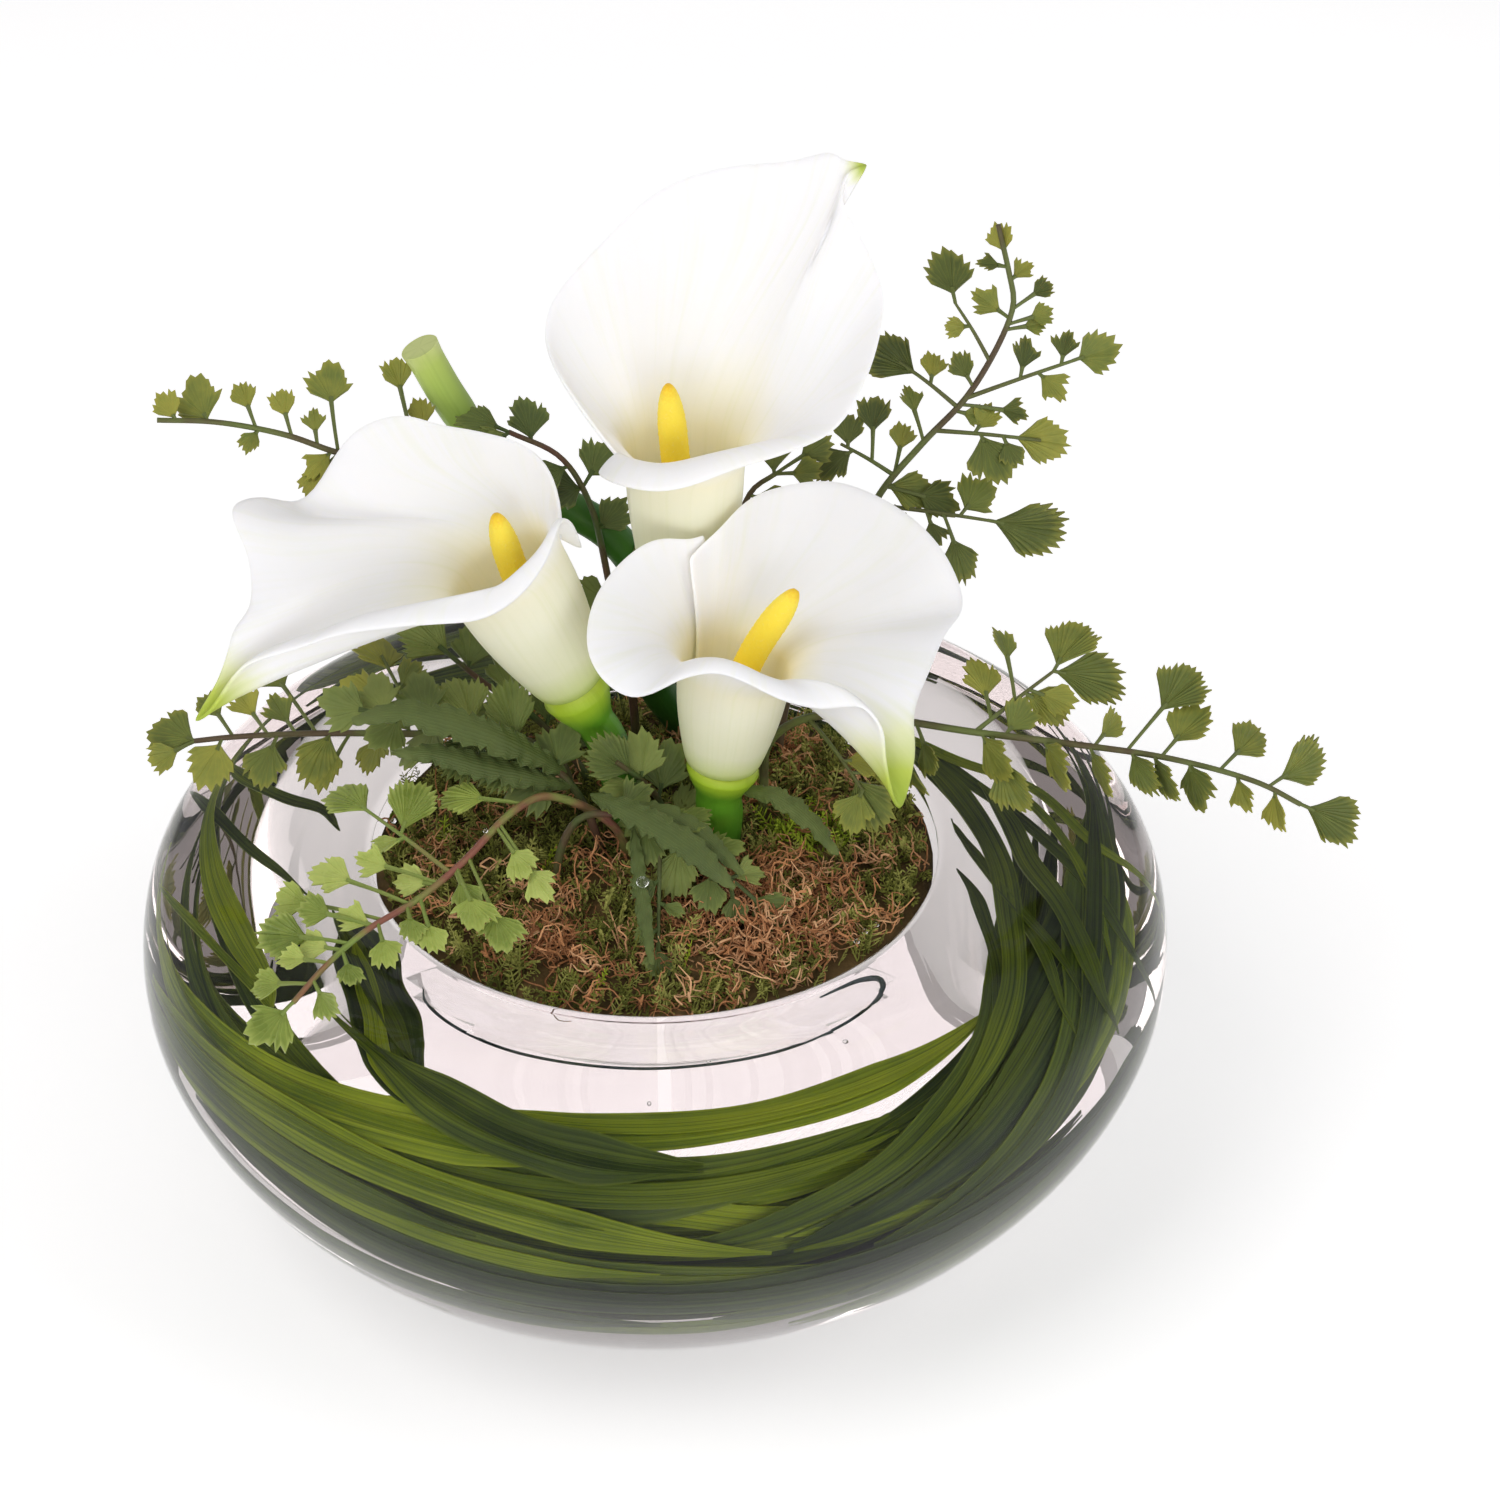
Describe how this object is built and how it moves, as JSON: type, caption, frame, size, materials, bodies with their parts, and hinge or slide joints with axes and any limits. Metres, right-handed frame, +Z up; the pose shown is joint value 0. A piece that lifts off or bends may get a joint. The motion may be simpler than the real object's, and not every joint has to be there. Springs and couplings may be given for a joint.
{
  "type": "floral table centerpiece",
  "caption": "Calla lilies and fern sprays standing in moss in a low round clear glass bowl, with long green leaves coiled inside the clear fill.",
  "frame": {"origin": "centre of the bowl's flat foot, on the surface it stands on", "axes": "+Z up along the bowl's axis; the front, seen in the picture, faces -Y; +X is to the right as seen from the front"},
  "size_m": [0.2944, 0.254, 0.2562],
  "materials": {
    "clear_glass": "clear polished glass",
    "clear_resin": "clear cast resin, taken as glass",
    "moss": "soft matte preserved moss",
    "green_stem": "smooth satin green",
    "white_spathe": "soft satin white",
    "yellow_spadix": "fine grained matte yellow",
    "long_leaf": "satin green, lengthwise veins",
    "bright_long_leaf": "satin bright green, lengthwise veins",
    "dark_long_leaf": "satin dark green, lengthwise veins",
    "olive_fern": "matte olive green",
    "dark_fern": "matte dark green",
    "bright_fern": "matte yellow green"
  },
  "bodies": {
    "root": {"glass_bowl": "clear_glass", "clear_fill": "clear_resin", "moss_mound": "moss", "calla_top_stem": "green_stem", "calla_top_spathe": "white_spathe", "calla_top_spadix": "yellow_spadix", "calla_left_stem": "green_stem", "calla_left_spathe": "white_spathe", "calla_left_spadix": "yellow_spadix", "calla_front_stem": "green_stem", "calla_front_spathe": "white_spathe", "calla_front_spadix": "yellow_spadix", "cut_stem": "green_stem", "leaf_crossing": "long_leaf", "leaf_bright_rib": "bright_long_leaf", "leaf_thin_left": "long_leaf", "leaf_right_wisp": "long_leaf", "leaf_left_band": "bright_long_leaf", "leaf_low_band": "dark_long_leaf", "leaf_right_sweep": "long_leaf", "leaf_right_outer": "long_leaf", "leaf_top_front": "bright_long_leaf", "leaf_middle_band": "long_leaf", "leaf_broad_right": "dark_long_leaf", "leaf_under_band": "long_leaf", "leaf_left_rise": "long_leaf", "leaf_right_inner": "long_leaf", "leaf_back_right": "dark_long_leaf", "leaf_back_left": "long_leaf", "fern_right_top": "olive_fern", "fern_right": "olive_fern", "fern_left": "olive_fern", "fern_top_left": "olive_fern", "fern_front_left": "bright_fern", "fern_centre_left": "dark_fern", "fern_centre_front": "dark_fern", "fern_centre_back": "dark_fern", "fern_centre_right": "dark_fern", "fern_back_left": "dark_fern", "fern_back_mid": "olive_fern"}
  },
  "joints": []
}
